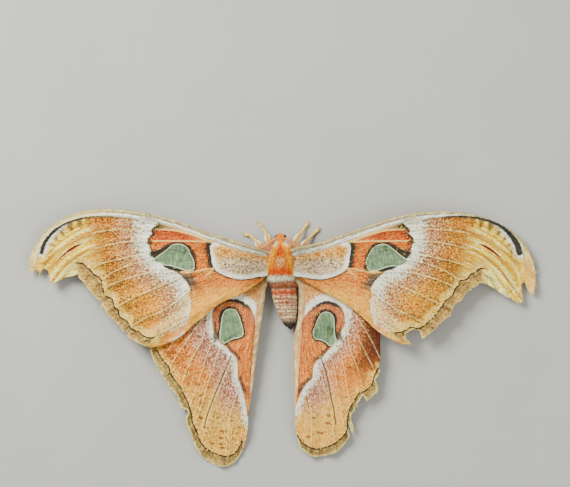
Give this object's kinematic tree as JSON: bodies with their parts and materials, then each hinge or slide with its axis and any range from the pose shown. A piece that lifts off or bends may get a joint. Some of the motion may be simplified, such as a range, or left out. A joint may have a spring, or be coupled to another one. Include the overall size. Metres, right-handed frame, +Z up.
{
  "type": "atlas moth model",
  "caption": "Life-size still model of an atlas moth at rest, wings spread flat, with clear wing windows, ringed abdomen, feathered antennae and furry legs.",
  "frame": {"origin": "on the floor that the feet stand on, under the middle of the model's bounding box", "axes": "+Z up, +Y towards the head, +X towards the moth's right forewing tip"},
  "size_m": [0.2408, 0.1228, 0.0143],
  "materials": {
    "forewing_scales": "matte scales, patterned",
    "hindwing_scales": "matte scales, patterned",
    "thorax_fur": "short fur",
    "abdomen_fur": "short fur, ringed",
    "head_fur": "short fur",
    "eye": "gloss",
    "antenna": "matte",
    "leg_fur": "short fur, satin claws"
  },
  "bodies": {
    "root": {"thorax": "thorax_fur", "abdomen": "abdomen_fur", "head": "head_fur", "eye_left": "eye", "antenna_left": "antenna", "forewing_left": "forewing_scales", "hindwing_left": "hindwing_scales", "foreleg_left": "leg_fur", "midleg_left": "leg_fur", "hindleg_left": "leg_fur", "eye_right": "eye", "antenna_right": "antenna", "forewing_right": "forewing_scales", "hindwing_right": "hindwing_scales", "foreleg_right": "leg_fur", "midleg_right": "leg_fur", "hindleg_right": "leg_fur"}
  },
  "joints": []
}
